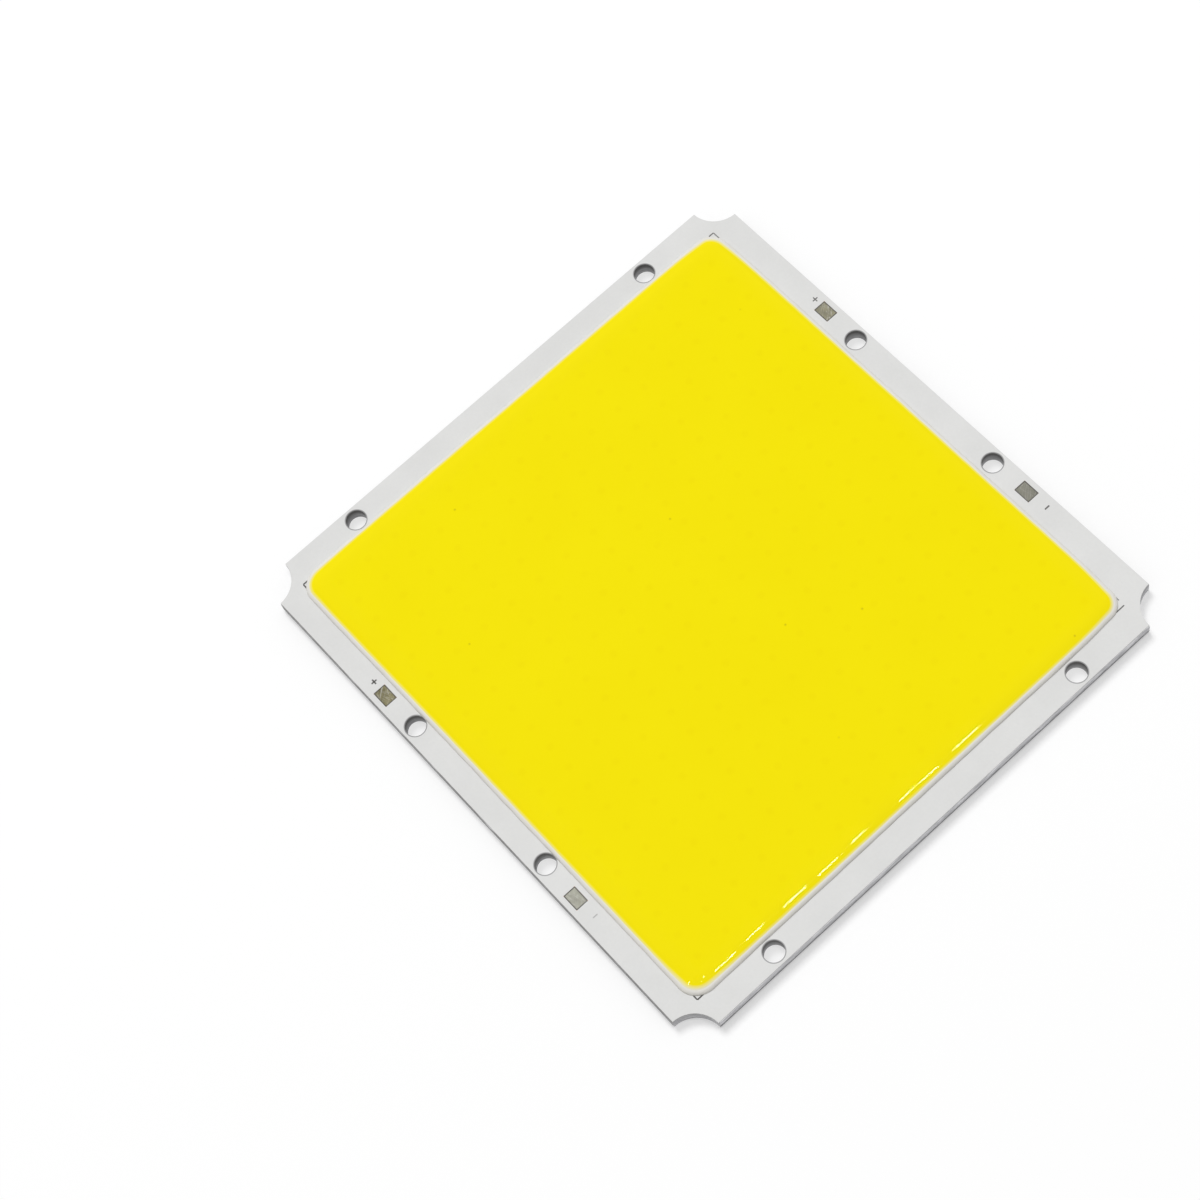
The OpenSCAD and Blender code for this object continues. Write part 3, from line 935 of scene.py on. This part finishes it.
strayed = bead_stray(line_x, line_y, out_dir_x, out_dir_y) * strayed + bead_wander(line_x, line_y) * held
crest_z = seat + bead_h * (1.0 + (bead_fullness(line_x, line_y) - 1.0) * held)
top_z = crest_z + skin_height(skin_x, skin_y)
skin = np.column_stack([
    (skin_x + out_dir_x * strayed).ravel(),
    (skin_y + out_dir_y * strayed).ravel(),
    top_z.ravel(),
])
skin_faces, rim = grid_faces(cells_x, cells_y)
rim_x = line_x.ravel()[rim]
rim_y = line_y.ravel()[rim]
rim_out = np.column_stack([out_dir_x.ravel()[rim], out_dir_y.ravel()[rim]])
rim_full = bead_fullness(rim_x, rim_y)
rim_drift = bead_stray(rim_x, rim_y, *rim_out.T) + bead_wander(rim_x, rim_y)
bead_r = (0.25 * bead_w ** 2 + bead_h ** 2) / (2.0 * bead_h)
layers = [skin]
total = len(skin)
above = rim
for share in flank_shares:
    inset = 0.5 * bead_w * share
    drop = bead_h - bead_r + math.sqrt(bead_r ** 2 - inset ** 2)
    flank_x = rim_x + rim_out[:, 0] * (rim_drift - inset * rim_full)
    flank_y = rim_y + rim_out[:, 1] * (rim_drift - inset * rim_full)
    layers.append(np.column_stack([flank_x, flank_y, seat + drop * rim_full]))
    below = list(range(total, total + len(rim)))
    skin_faces += wall(above, below)
    above = below
    total += len(rim)
skin_faces.append(above[::-1])
skin_depth = np.zeros(total)
skin_depth[:depth.size] = (depth - near_corner(skin_x, skin_y, corner_thins, thin_reach)).ravel()
phosphor = closed_mesh(
    "cast_phosphor_layer", np.concatenate(layers), skin_faces, skin_sharp, depth_mm=skin_depth
)

glow_yellow = (0.920, 0.779, 0.0, 1.0)
glow_deep = (0.896, 0.742, 0.0, 1.0)
glow_thin = (0.830, 0.775, 0.42, 1.0)
mote_brown = (0.40, 0.28, 0.01, 1.0)
sheen_tint = (1.0, 0.98, 0.50, 1.0)
thin_edge = 0.38
cast_yellow, tree, shader, place = new_finish("yellow_phosphor_silicone")


def from_row(tree, axis, pitch, shift):
    """Distance in mm to the nearest line of diodes."""
    part = reckon(tree, "FRACT", reckon(tree, "MULTIPLY_ADD", axis, 1.0 / pitch, shift + 0.5))
    return reckon(tree, "MULTIPLY_ADD", part, pitch, -0.5 * pitch)


axes = axes_of(tree, place)
beside = {0: from_row(tree, axes["X"], pitch_x, 0.5), 1: from_row(tree, axes["Y"], pitch_y, 0.0)}
off_diode = reckon_vector(tree, "LENGTH", combined(tree, beside))
over_diode = spread_to(tree, off_diode, 0.45, 0.0, 0.35, 0.8)
powder = effect(tree, uneven_tone, {"Place": place, "Patches": 0.08, "Grain": 6.0, "Grain Share": 0.4})
settled = spread_to(tree, powder, 0.0, 0.45, 0.35, 0.65)
yellow = between(tree, reckon(tree, "ADD", over_diode, settled), glow_yellow, glow_deep)
motes = put(tree, "ShaderNodeTexVoronoi", {"Vector": place, "Scale": 0.16}, voronoi_dimensions="2D").outputs
mote_pick = put(tree, "ShaderNodeSeparateColor", {0: motes["Color"]}).outputs[0]
mote_chance = spread_to(tree, mote_pick, 0.0, 1.0, 0.945, 0.985)
mote_near = spread_to(tree, motes["Distance"], 0.4, 0.0, 0.012, 0.040)
yellow = between(tree, product(tree, mote_chance, mote_near), yellow, mote_brown)
edge_depth = carried(tree, "depth_mm")
yellow = between(tree, spread_to(tree, edge_depth, 1.0, 0.0, -0.17, thin_edge), yellow, glow_thin)
yellow = between(tree, spread_to(tree, edge_depth, 1.0, 0.0, -0.40, -0.10), yellow, paste_cream)
rim_gloss = spread_to(tree, powder, 0.012, 0.022)
field_gloss = spread_to(tree, powder, 0.16, 0.25)
gloss = number_between(tree, spread_to(tree, edge_depth, 0.0, 1.0, 2.3, 3.8), rim_gloss, field_gloss)
feed(tree, shader, {"Base Color": yellow, "Roughness": gloss})
feed(tree, shader, {"IOR": 1.41, "Specular IOR Level": 0.2, "Specular Tint": sheen_tint})
relief(tree, shader, product(tree, powder, spread_to(tree, edge_depth, 0.0, 1.0, 1.8, 3.2)), 0.0002)
phosphor.data.materials.append(cast_yellow)
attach(phosphor, "root")
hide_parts("phosphor_layer")


# Floor and light: a white table, painted brighter inside the screw holes, and an even white room.
# Overhead hang a row of small lamps and a few single ones, which draw the broken glints on the rim
# of the cast layer, and a wide soft lamp that shines from the positive end.
pure_white = (1.0, 1.0, 1.0, 1.0)
floor_half = 3.0
floor_gap = 0.00002
table_glow = 0.33
hole_painted_light = 0.62
hole_fade = 0.5
floor_mesh = bpy.data.meshes.new("white_table")
floor_signs = ((-1, -1), (1, -1), (1, 1), (-1, 1))
floor_corners = [(x * floor_half, y * floor_half, -floor_gap) for x, y in floor_signs]
floor_mesh.from_pydata(floor_corners, [], [(0, 1, 2, 3)])
table = bpy.data.objects.new("white_table", floor_mesh)
bpy.context.scene.collection.objects.link(table)


def seen_straight(tree):
    """1 for what the camera sees directly, in a mirror or through glass, and 0 for light on the scene."""
    path = put(tree, "ShaderNodeLightPath").outputs
    mirrored = reckon(tree, "MAXIMUM", path["Is Camera Ray"], path["Is Glossy Ray"])
    return reckon(tree, "MAXIMUM", mirrored, path["Is Transmission Ray"])


table_white, tree, shader, place = new_finish("table_white")
feed(tree, shader, {"Base Color": pure_white, "Roughness": 1.0, "Specular IOR Level": 0.0})
shine = put(tree, "ShaderNodeEmission", {"Color": pure_white, "Strength": 1.0})
hole_gap = effect(tree, from_holes, {"Place": place})
# Painted light: the table glows brighter where it is seen through the screw holes.
glow = spread_to(tree, hole_gap, hole_painted_light, table_glow, screw_r, screw_r + hole_fade)
glow = product(tree, seen_straight(tree), glow)
lifted = put(tree, "ShaderNodeMixShader", {0: glow, 1: shader.outputs[0], 2: shine.outputs[0]})
feed(tree, tree.nodes["Material Output"], {"Surface": lifted.outputs[0]})
floor_mesh.materials.append(table_white)

room_level = 0.42
room_air = bpy.data.worlds.new("white_room")
room_air.use_nodes = True
tree = room_air.node_tree
brightness = spread_to(tree, seen_straight(tree), room_level, 1.0)
feed(tree, tree.nodes["Background"], {"Color": pure_white, "Strength": brightness})
bpy.context.scene.world = room_air


def hang_lamp(name, place, size_x, size_y, power):
    """A soft rectangular lamp that shines straight down."""
    lamp = bpy.data.lights.new(name, "AREA")
    lamp.shape = "RECTANGLE"
    lamp.size = size_x
    lamp.size_y = size_y
    lamp.energy = power
    hung = bpy.data.objects.new(name, lamp)
    hung.location = place
    hung.rotation_mode = "QUATERNION"
    bpy.context.scene.collection.objects.link(hung)
    return hung


lamp_height = 2.0
row_level = 80.0
row_width = 0.085
row_places = (
    (0.106, 0.1690, 0.0240),
    (0.010, 0.2052, 0.0191),
    (0.080, 0.2502, 0.0276),
    (0.097, 0.2884, 0.0237),
    (0.012, 0.3241, 0.0170),
    (0.115, 0.3812, 0.0190),
    (0.150, 0.4066, 0.0205),
    (0.061, 0.4515, 0.0300),
)
row_lamps = [(x, y, row_width, length) for x, y, length in row_places]
dot_level = 60.0
dot_lamps = (
    (-0.362, -0.422, 0.068, 0.068),
    (-0.128, -0.181, 0.048, 0.048),
    (0.035, -0.010, 0.080, 0.070),
    (-0.093, 0.123, 0.080, 0.042),
)
for kind, level, lamps in (("row", row_level, row_lamps), ("dot", dot_level, dot_lamps)):
    for order, (x, y, across, along) in enumerate(lamps):
        power = level * math.pi * across * along
        hang_lamp("%s_lamp_%d" % (kind, order + 1), (x, y, lamp_height), across, along, power)
end_place = Vector((-1.656, 0.288, 3.183))
end_size = 1.3
end_power = 63.2
end_lamp = hang_lamp("end_lamp", end_place, end_size, end_size, end_power)
end_lamp.rotation_quaternion = (-end_place).to_track_quat("-Z", "Y")
end_lamp.visible_glossy = False


# Camera: a long lens above the near corner, where the negative end meets the -Y side.
# Its place, its three directions and its shift come from a fit to the board's four straight edges.
viewer = bpy.data.cameras.new("viewer")
viewer.sensor_width = 36.0
viewer.lens = 85.2
viewer.shift_x = -0.04125
viewer.shift_y = -0.0261
view_right = Vector((0.6597754, 0.73903846, -0.13608298))
view_up = Vector((-0.6474346, 0.6509715, 0.39631369))
view_back = Vector((0.38147721, -0.17337319, 0.90797405))
view_from = Vector((0.154476, -0.077589, 0.391757))
view_turn = Matrix((view_right, view_up, view_back)).transposed()
stand = bpy.data.objects.new("viewer", viewer)
stand.matrix_world = Matrix.Translation(view_from) @ view_turn.to_4x4()
bpy.context.scene.collection.objects.link(stand)
bpy.context.scene.camera = stand
bpy.context.scene.view_settings.view_transform = "Standard"
